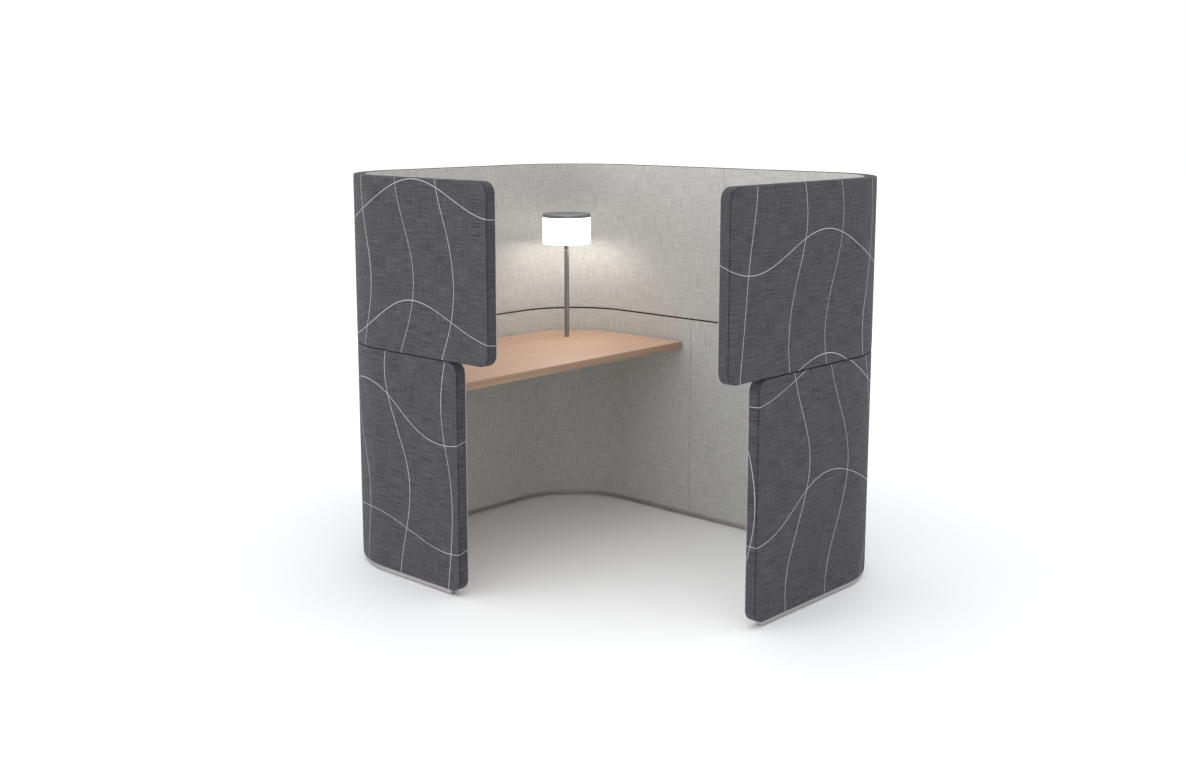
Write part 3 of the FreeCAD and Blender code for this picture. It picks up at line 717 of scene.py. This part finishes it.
@dataclass(frozen=True)
class Leg:
    """One leg of a screen's plan: a straight run, or a quarter turn about a centre."""

    start: Vector
    onward: Vector
    inward: Vector
    length: float
    centre: Vector | None = None
    turn: float = 0.0

    def spot(self, point: Vector) -> tuple[float, Spot]:
        """Places a point on this leg.

        Args:
            point: The point in plan.

        Returns:
            How far off the leg's ends it is, and where it is on the leg.
        """
        if self.centre is None:
            along = (point - self.start).dot(self.onward)
            depth = (point - self.start).dot(self.inward)
            off = max(0.0, -along, along - self.length, abs(depth) - SCREEN_REACH)
            return off, Spot(along, depth, self.inward, self.onward)
        arm = point - self.centre
        first = self.start - self.centre
        radius = first.length
        angle = self.turn * math.atan2(first.x * arm.y - first.y * arm.x, first.dot(arm))
        depth = radius - arm.length
        past = (angle - QUARTER_TURN) * radius
        off = max(0.0, -angle * radius, past, abs(depth) - SCREEN_REACH)
        inward = -arm.normalized()
        onward = Vector((inward.y, -inward.x)) * self.turn
        return off, Spot(angle * radius, depth, inward, onward)


class Rim(Enum):
    """Which face of a screen a padded panel is on."""

    OUTER = "cover_face"
    INNER = "lining_face"


@dataclass
class Screen:
    """One upholstered shell: an outer panel, an inner panel and the boxing band between them."""

    name: str
    has_desk: bool
    entry_twin: str
    cloth_shift: tuple[float, float]
    top_roll: float = 0.0
    corner: float = 0.335
    outer_pad: float = 0.008
    inner_pad: float = 0.007
    wall: float = 0.045
    crown: float = 0.0008
    hem: float = 0.0028
    hem_width: float = 0.0050
    sewn_depth: float = 0.0050
    border: float = 0.004
    seam_gap: float = 0.0010
    end_corner: float = 0.040
    end_cuts: int = 8
    soft_rim: float = 0.0014
    back_rim: float = 0.0005
    rim_cuts: int = 4
    reveal: float = 0.0008
    band_rim: float = 0.0008
    band_cuts: int = 3
    band_angle: float = 50.0
    smooth_angle: float = 40.0
    rolled_sewn: float = 0.0078
    roll_clear: float = 0.05
    roll_run: float = 0.10
    cell: float = 0.066
    turn_steps: int = 18
    pillow: tuple[float, ...] = (0.0012, 0.0014, 0.0019, 0.011, 0.018)

    def __post_init__(self) -> None:
        """Reads the shell's place from its CAD cover."""
        low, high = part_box(f"{self.name}_cover")
        self.base, self.top = low.z, high.z
        self.half = CAD_BOX[1].to_2d()
        self.bend = self.half - Vector((self.corner, self.corner))
        self.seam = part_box(f"{self.entry_twin}_cover")[1].y
        self.legs = self.desk_plan(low.y) if self.has_desk else self.entry_plan(low.x)
        self.length = sum(leg.length for leg in self.legs)

    def desk_plan(self, free_end: float) -> list[Leg]:
        """Lays out a shell round the desk.

        Args:
            free_end: Where its wing ends.

        Returns:
            Its legs, from the free end to the seam.
        """
        bend, quarter = self.bend, self.corner * QUARTER_TURN
        left, right = Vector((-bend.x, bend.y)), Vector((bend.x, bend.y))
        up, over, down = Vector((0, 1)), Vector((1, 0)), Vector((0, -1))
        wing = Vector((-self.half.x, free_end))
        rise = bend.y - free_end
        fall = bend.y - self.seam - self.seam_gap
        side = Vector((self.half.x, bend.y))
        back = Vector((-bend.x, self.half.y))
        return [
            Leg(wing, up, over, rise),
            Leg(wing + up * rise, up, over, quarter, left, -1.0),
            Leg(back, over, down, 2 * bend.x),
            Leg(back + over * 2 * bend.x, over, down, quarter, right, -1.0),
            Leg(side, down, -over, fall),
        ]

    def entry_plan(self, free_end: float) -> list[Leg]:
        """Lays out a shell beside the way in.

        Args:
            free_end: Where its wing ends.

        Returns:
            Its legs, from the free end to the seam.
        """
        bend, quarter = self.bend, self.corner * QUARTER_TURN
        up, over = Vector((0, 1)), Vector((1, 0))
        wing = Vector((free_end, -self.half.y))
        run = bend.x - free_end
        side = Vector((self.half.x, -bend.y))
        return [
            Leg(wing, over, up, run),
            Leg(wing + over * run, over, up, quarter, Vector((bend.x, -bend.y)), 1.0),
            Leg(side, up, -over, self.seam + bend.y),
        ]

    def spot(self, point: Vector) -> Spot:
        """Places a point on the shell.

        Args:
            point: A point in space.

        Returns:
            Where it is along and into the screen.
        """
        flat = point.to_2d()
        best, found, gone = math.inf, None, 0.0
        for leg in self.legs:
            off, spot = leg.spot(flat)
            if off < best - SAME_LEG:
                best = off
                found = replace(spot, along=spot.along + gone)
            gone += leg.length
        return found

    def rim_distance(self, along: float, height: float, margin: float) -> float:
        """Measures how far a point of a face is from the face's outline.

        Args:
            along: Its place along the shell.
            height: Its height in space.
            margin: How far the outline is set in from the screen's own.

        Returns:
            The distance, with the two rounded corners of the free end counted.
        """
        edge = min(height - self.base, self.top - height) - margin
        along -= margin
        turn = self.end_corner
        if along < turn and edge < turn:
            return turn - math.hypot(turn - along, turn - edge)
        return min(edge, along, self.length - margin - along)

    def roll_share(self, along: float) -> float:
        """Gives how much of the roll over the top there is, none of it at the free end.

        Args:
            along: The place along the shell.

        Returns:
            The share, from 0 to 1.
        """
        if self.top_roll == 0.0:
            return 0.0
        share = min(1.0, max(0.0, (along - self.roll_clear) / self.roll_run))
        return share * share * (3 - 2 * share)

    def sunk(self, roll: float, drop: float) -> float:
        """Gives how far the cover's face sinks, on a quarter circle below the rolled top.

        Args:
            roll: The roll's depth at that place along the shell.
            drop: How far the point is below the top.

        Returns:
            The depth, which is 0 below the roll and where there is none.
        """
        if roll == 0.0 or drop >= self.top_roll:
            return 0.0
        share = 1.0 - max(0.0, drop) / self.top_roll
        return roll * (1.0 - math.sqrt(1.0 - share * share))

    def turned(self, face: bpy.types.MeshPolygon) -> float:
        """Returns the cosine between the way that a face looks and the way into the booth."""
        return self.spot(face.center).into(1.0).dot(face.normal)

    def sheet(self, name: str, depth: float, margin: float) -> bpy.types.Object:
        """Draws the plan line at a depth, raises it to a sheet and rounds its free end.

        Args:
            name: The piece's name.
            depth: How far in from the outer face.
            margin: How far its outline is set in from the screen's own.

        Returns:
            The sheet.
        """
        bpy.ops.object.select_all(action="DESELECT")
        bpy.ops.mesh.primitive_plane_add(size=self.wall)
        piece = bpy.context.object
        piece.name = name
        bpy.ops.object.mode_set(mode="EDIT")
        bpy.ops.mesh.select_mode(type="VERT")
        bpy.ops.mesh.merge(type="CENTER")
        first = self.legs[0]
        start = first.start + first.inward * depth + first.onward * margin
        base, top = self.base + margin, self.top - margin
        bpy.ops.transform.translate(value=(start.x, start.y, base))
        for leg in [replace(first, length=first.length - margin), *self.legs[1:]]:
            self.draw_leg(leg)
        rows = round((top - base) / self.cell)
        rise = (top - base) / rows
        bpy.ops.mesh.select_all(action="SELECT")
        bpy.ops.mesh.remove_doubles(threshold=WELD)
        for _ in range(rows):
            bpy.ops.mesh.extrude_region_move(TRANSFORM_OT_translate={"value": (0, 0, rise)})
        bpy.ops.object.mode_set(mode="OBJECT")
        ends = [Vector((start.x, start.y, height)) for height in (base, top)]
        Pick.POINTS.start(
            piece, lambda point: min((point.co - end).length for end in ends) < CORNER_NEAR)
        bpy.ops.mesh.bevel(offset=self.end_corner, segments=self.end_cuts, profile=0.5,
                           affect="VERTICES")
        bpy.ops.object.mode_set(mode="OBJECT")
        return piece

    def draw_leg(self, leg: Leg) -> None:
        """Extrudes or spins the end of the plan line along one leg.

        Args:
            leg: The leg.
        """
        if leg.centre is None:
            pieces = max(1, round(leg.length / self.cell))
            step = (leg.onward * (leg.length / pieces)).to_3d()
            for _ in range(pieces):
                bpy.ops.mesh.extrude_region_move(TRANSFORM_OT_translate={"value": step})
            return
        bpy.ops.mesh.spin(steps=self.turn_steps, angle=QUARTER_TURN, axis=(0, 0, -leg.turn),
                          center=(leg.centre.x, leg.centre.y, self.base))

    def face_way(self, piece: bpy.types.Object, inwards: bool) -> None:
        """Turns a sheet's faces to one side.

        Args:
            piece: The sheet.
            inwards: Whether they face into the booth.
        """
        with whole_selected():
            bpy.ops.mesh.normals_make_consistent(inside=False)
        middle = piece.data.polygons[len(piece.data.polygons) // 2]
        if (self.turned(middle) > 0) != inwards:
            with whole_selected():
                bpy.ops.mesh.flip_normals()

    def thicken(self, piece: bpy.types.Object, thickness: float) -> None:
        """Gives a sheet its thickness, away from the way that it faces."""
        modify(piece, "SOLIDIFY", {"thickness": thickness, "offset": -1.0, "use_even_offset": True})

    def panel(self, rim: Rim) -> bpy.types.Object:
        """Makes a padded panel with a crowned face, a hem and a soft rim.

        Args:
            rim: The face of the screen that it is on.

        Returns:
            The panel.
        """
        inner = rim is Rim.INNER
        face = self.wall if inner else 0.0
        way = -1.0 if inner else 1.0
        pad = self.inner_pad if inner else self.outer_pad
        margin = self.reveal if inner else 0.0
        piece = self.sheet(f"{self.name}_{rim.value}", face, margin)
        self.face_way(piece, inner)
        with whole_selected():
            for width in self.pillow:
                bpy.ops.mesh.inset(thickness=width, depth=0.0, use_boundary=True,
                                   use_even_offset=True)
        reach = sum(self.pillow)
        for vertex in piece.data.vertices:
            spot = self.spot(vertex.co)
            near = max(0.0, 1.0 - self.rim_distance(spot.along, vertex.co.z, margin) / reach)
            vertex.co += spot.into(way * self.crown * near ** 2)
        fronts = len(piece.data.vertices)
        self.thicken(piece, pad - self.crown)
        for vertex in piece.data.vertices:
            spot = self.spot(vertex.co)
            drop = self.top - vertex.co.z
            roll = 0.0 if inner else self.top_roll * self.roll_share(spot.along)
            if vertex.index < fronts:
                vertex.co += spot.into(self.sunk(roll, drop))
            elif self.rim_distance(spot.along, vertex.co.z, margin) < self.hem_width:
                tuck = face + way * self.hem + (roll if drop < self.hem_width else 0.0)
                vertex.co += spot.into(tuck - spot.depth)
        self.round_rim(piece, fronts, margin)
        return piece

    def round_rim(self, piece: bpy.types.Object, fronts: int, margin: float) -> None:
        """Rounds a panel's outline, less at the back, at the seam and on the rolled top.

        Args:
            piece: The panel.
            fronts: How many of its points, the first ones, are on its face.
            margin: How far the outline is set in from the screen's own.
        """
        less = self.back_rim / self.soft_rim
        along, side, share = [], [], []
        for vertex in piece.data.vertices:
            spot = self.spot(vertex.co)
            front = vertex.index < fronts
            at_rim = self.rim_distance(spot.along, vertex.co.z, margin) < RIM_NEAR
            rolled = self.top - vertex.co.z < RIM_NEAR and self.roll_share(spot.along) > 0.0
            along.append(spot.along)
            side.append((1 if front else -1) if at_rim else 0)
            share.append(1.0 if front and not rolled else less)
        weights = piece.data.attributes.new("bevel_weight_edge", "FLOAT", "EDGE")
        for edge in piece.data.edges:
            first, second = edge.vertices
            if side[first] and side[first] == side[second]:
                at_seam = min(along[first], along[second]) > self.length - RIM_NEAR
                weight = less if at_seam else min(share[first], share[second])
                weights.data[edge.index].value = weight
        modify(piece, "BEVEL", {"limit_method": "WEIGHT", "width": self.soft_rim,
                                "segments": self.rim_cuts, "use_clamp_overlap": False})

    def band(self) -> bpy.types.Object:
        """Makes the boxing band that runs round the screen's edge between its panels.

        Returns:
            The band.
        """
        piece = self.sheet(f"{self.name}_edge_band", self.sewn_depth, 0.0)
        self.face_way(piece, False)
        self.thicken(piece, self.wall - 2 * self.sewn_depth)
        for vertex in piece.data.vertices:
            spot = self.spot(vertex.co)
            if spot.depth < self.wall / 2 and self.top - vertex.co.z < RIM_NEAR:
                tuck = (self.rolled_sewn - self.sewn_depth) * self.roll_share(spot.along)
                vertex.co += spot.into(tuck)
        Pick.FACES.start(piece, lambda face: abs(self.turned(face)) > FACING)
        bpy.ops.mesh.delete(type="FACE")
        bpy.ops.object.mode_set(mode="OBJECT")
        self.thicken(piece, self.border)
        modify(piece, "BEVEL", {"limit_method": "ANGLE", "width": self.band_rim,
                                "angle_limit": math.radians(self.band_angle),
                                "segments": self.band_cuts, "use_clamp_overlap": True})
        return piece

    def lay_cloth(self, piece: bpy.types.Object) -> None:
        """Maps the cut cloth on a piece, along and up its faces and over its edges.

        Args:
            piece: The piece.
        """
        layer = piece.data.uv_layers.new(name=CLOTH_UV)
        spots = [self.spot(vertex.co) for vertex in piece.data.vertices]
        start, lift = self.cloth_shift
        for face in piece.data.polygons:
            end = abs(self.spot(face.center).onward.to_3d().dot(face.normal)) > FACING
            flat = abs(face.normal.z) > FACING
            for loop in face.loop_indices:
                index = piece.data.loops[loop].vertex_index
                spot, height = spots[index], piece.data.vertices[index].co.z
                along = spot.along - (spot.depth if end else 0.0)
                up = height + (math.copysign(spot.depth, face.normal.z) if flat else 0.0)
                layer.data[loop].uv = (along + start, up + lift)

    def build(self) -> dict[str, bpy.types.Object]:
        """Makes the shell's three soft pieces.

        Returns:
            The pieces by what they are.
        """
        made = {"face": self.panel(Rim.OUTER), "band": self.band(), "lining": self.panel(Rim.INNER)}
        for piece in made.values():
            self.lay_cloth(piece)
            bpy.ops.object.select_all(action="DESELECT")
            piece.select_set(True)
            bpy.context.view_layer.objects.active = piece
            bpy.ops.object.shade_smooth_by_angle(angle=math.radians(self.smooth_angle))
        return made

    def dress(self, made: dict[str, bpy.types.Object], finishes: Finishes) -> None:
        """Covers the pieces and puts them in place of the CAD's soft solids.

        Args:
            made: The pieces by what they are.
            finishes: The materials.
        """
        for part, piece in made.items():
            finish = Finish.LINING if part == "lining" else Finish.COVER
            node = "lining" if part == "lining" else "cover"
            finishes.dress(piece, finish)
            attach(piece, HOUSING)
            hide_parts(f"{self.name}_{node}")
            LOG.info("%s: %d faces", piece.name, len(piece.data.polygons))


@dataclass
class Joinery:
    """The CAD nodes, by the finish that each one gets."""

    screens: tuple[str, ...] = ("lower_desk", "lower_entry", "upper_desk", "upper_entry")
    feet: int = 8

    def nodes(self) -> dict[Finish, list[str]]:
        """Lists the nodes.

        Returns:
            Their names under each finish.
        """
        return {
            Finish.PLYWOOD: [f"{name}_core" for name in self.screens],
            Finish.COVER: [f"{name}_cover" for name in self.screens],
            Finish.LINING: [f"{name}_lining" for name in self.screens],
            Finish.PLINTH: ["desk_plinth_rail", "entry_plinth_rail"],
            Finish.STRIP: ["desk_joint_strip", "entry_joint_strip"],
            Finish.FASTENER: ["seam_bolts", "bracket_wall_screws", "bracket_desk_screws",
                              "lamp_flange_screws", "stacking_dowels"],
            Finish.INSERT: ["foot_inserts"],
            Finish.DESK: ["desk_top"],
            Finish.DESK_EDGE: ["desk_front_band"],
            Finish.BRACKET: [f"desk_bracket_{side}" for side in ("left", "right", "back")],
            Finish.SHADE: ["lamp_shade", "lamp_diffuser"],
            Finish.LAMP: ["lamp_cap", "lamp_pole", "lamp_flange"],
            Finish.COLLAR: ["lamp_dimmer_collar"],
            Finish.BOARD: ["lamp_led_board"],
            Finish.INLET: ["lamp_power_inlet"],
            Finish.FOOT: [f"levelling_foot_{number + 1}" for number in range(self.feet)],
        }

    def dress(self, finishes: Finishes) -> None:
        """Gives every CAD node its finish.

        Args:
            finishes: The materials.
        """
        for finish, nodes in self.nodes().items():
            for node in nodes:
                finishes.dress_node(node, finish)


@dataclass(frozen=True)
class FarLight:
    """A broad light from far off."""

    name: str
    strength: float
    spread: float
    way: Point

    def build(self) -> None:
        """Hangs the light."""
        lamp = bpy.data.lights.new(self.name, "SUN")
        lamp.energy = self.strength
        lamp.angle = math.radians(self.spread)
        hung = bpy.data.objects.new(self.name, lamp)
        hung.rotation_euler = Vector(self.way).to_track_quat("-Z", "Y").to_euler()
        bpy.context.scene.collection.objects.link(hung)


@dataclass
class Studio:
    """The pale floor, the soft light and the camera."""

    floor_size: float = 60.0
    floor_cuts: int = 8
    floor_drop: float = 0.0005
    floor_shade: Colour = (0.900, 0.908, 0.915)
    floor_pale: float = 1.02
    floor_cloud: Point = (0.6, 0.6, 0.6)
    floor_rough: float = 0.55
    floor_specular: float = 0.2
    sky: float = 0.91
    backdrop: float = 1.0
    overhead: FarLight = FarLight("overhead", strength=1.05, spread=110.0, way=(0.12, 0.05, -1.0))
    side: FarLight = FarLight("side", strength=0.90, spread=30.0, way=(1.0, -0.6, -0.12))
    shade_light_power: float = 0.95
    shade_light_size: float = 0.015
    shade_light_colour: Colour = (1.0, 0.95, 0.88)
    shade_light_off: Point = (0.057, -0.028, 0.004)
    eye: Point = (-3.6824, -3.3398, 1.6575)
    heading: float = 42.8988
    pitch: float = -9.3956
    lens: float = 42.3225
    sensor: float = 36.0
    shift: float = -0.045

    def floor(self) -> None:
        """Lays the floor."""
        bpy.ops.object.select_all(action="DESELECT")
        bpy.ops.mesh.primitive_grid_add(
            x_subdivisions=self.floor_cuts, y_subdivisions=self.floor_cuts, size=self.floor_size)
        ground = bpy.context.object
        ground.name = "floor"
        with whole_selected():
            bpy.ops.transform.translate(value=(0, 0, -self.floor_drop))
        graph = Graph.of_material("pale_floor")
        cloud = graph.grain(graph.place(), self.floor_cloud)
        ground.data.materials.append(graph.finished({
            "Base Color": graph.tinted(cloud, self.floor_shade, 1.0, self.floor_pale),
            "Roughness": self.floor_rough,
            "Specular IOR Level": self.floor_specular,
        }))

    def room(self) -> None:
        """Makes a white room that lights a little less than it shows."""
        world = bpy.data.worlds.new("white_room")
        graph = Graph(world)
        lit, seen = (
            graph.node("ShaderNodeBackground", {}, {"Color": rgba(WHITE), "Strength": strength})
            for strength in (self.sky, self.backdrop))
        to_camera = graph.node("ShaderNodeLightPath", {}, {}, "Is Camera Ray")
        mix = graph.node("ShaderNodeMixShader", {}, {0: to_camera, 1: lit, 2: seen})
        graph.node("ShaderNodeOutputWorld", {}, {"Surface": mix})
        bpy.context.scene.world = world
        bpy.context.scene.view_settings.view_transform = "Standard"

    def shade_light(self) -> None:
        """Puts the bulb inside the lamp's shade."""
        bulb = bpy.data.lights.new("shade_light", "POINT")
        bulb.energy = self.shade_light_power
        bulb.shadow_soft_size = self.shade_light_size
        bulb.color = self.shade_light_colour
        low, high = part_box("lamp_shade")
        middle = (low + high) / 2
        hung = bpy.data.objects.new("shade_light", bulb)
        hung.location = Vector((middle.x, middle.y, low.z)) + Vector(self.shade_light_off)
        bpy.context.scene.collection.objects.link(hung)

    def camera(self) -> None:
        """Sets up the camera at the photograph's angle."""
        lens = bpy.data.cameras.new("camera")
        lens.lens = self.lens
        lens.sensor_width = self.sensor
        lens.shift_y = self.shift
        viewer = bpy.data.objects.new("camera", lens)
        viewer.location = self.eye
        tilt, turn = math.radians(LEVEL + self.pitch), math.radians(self.heading - LEVEL)
        viewer.rotation_euler = (tilt, 0.0, turn)
        bpy.context.scene.collection.objects.link(viewer)
        bpy.context.scene.camera = viewer

    def build(self) -> None:
        """Builds the studio."""
        self.floor()
        self.room()
        self.overhead.build()
        self.side.build()
        self.shade_light()
        self.camera()


def main() -> None:
    """Builds and dresses the booth, then the studio round it."""
    logging.basicConfig(level=logging.INFO, format="%(name)s: %(message)s")
    finishes = Finishes()
    screens = [
        Screen("lower_desk", has_desk=True, entry_twin="lower_entry", cloth_shift=(0.06, 0.03)),
        Screen("lower_entry", has_desk=False, entry_twin="lower_entry", cloth_shift=(0.15, 0.28)),
        Screen("upper_desk", has_desk=True, entry_twin="upper_entry", cloth_shift=(0.17, 0.12),
               top_roll=0.0040),
        Screen("upper_entry", has_desk=False, entry_twin="upper_entry", cloth_shift=(0.02, 0.27),
               top_roll=0.0040),
    ]
    Joinery().dress(finishes)
    for screen in screens:
        screen.dress(screen.build(), finishes)
    Studio().build()


if __name__ == "__main__":
    main()
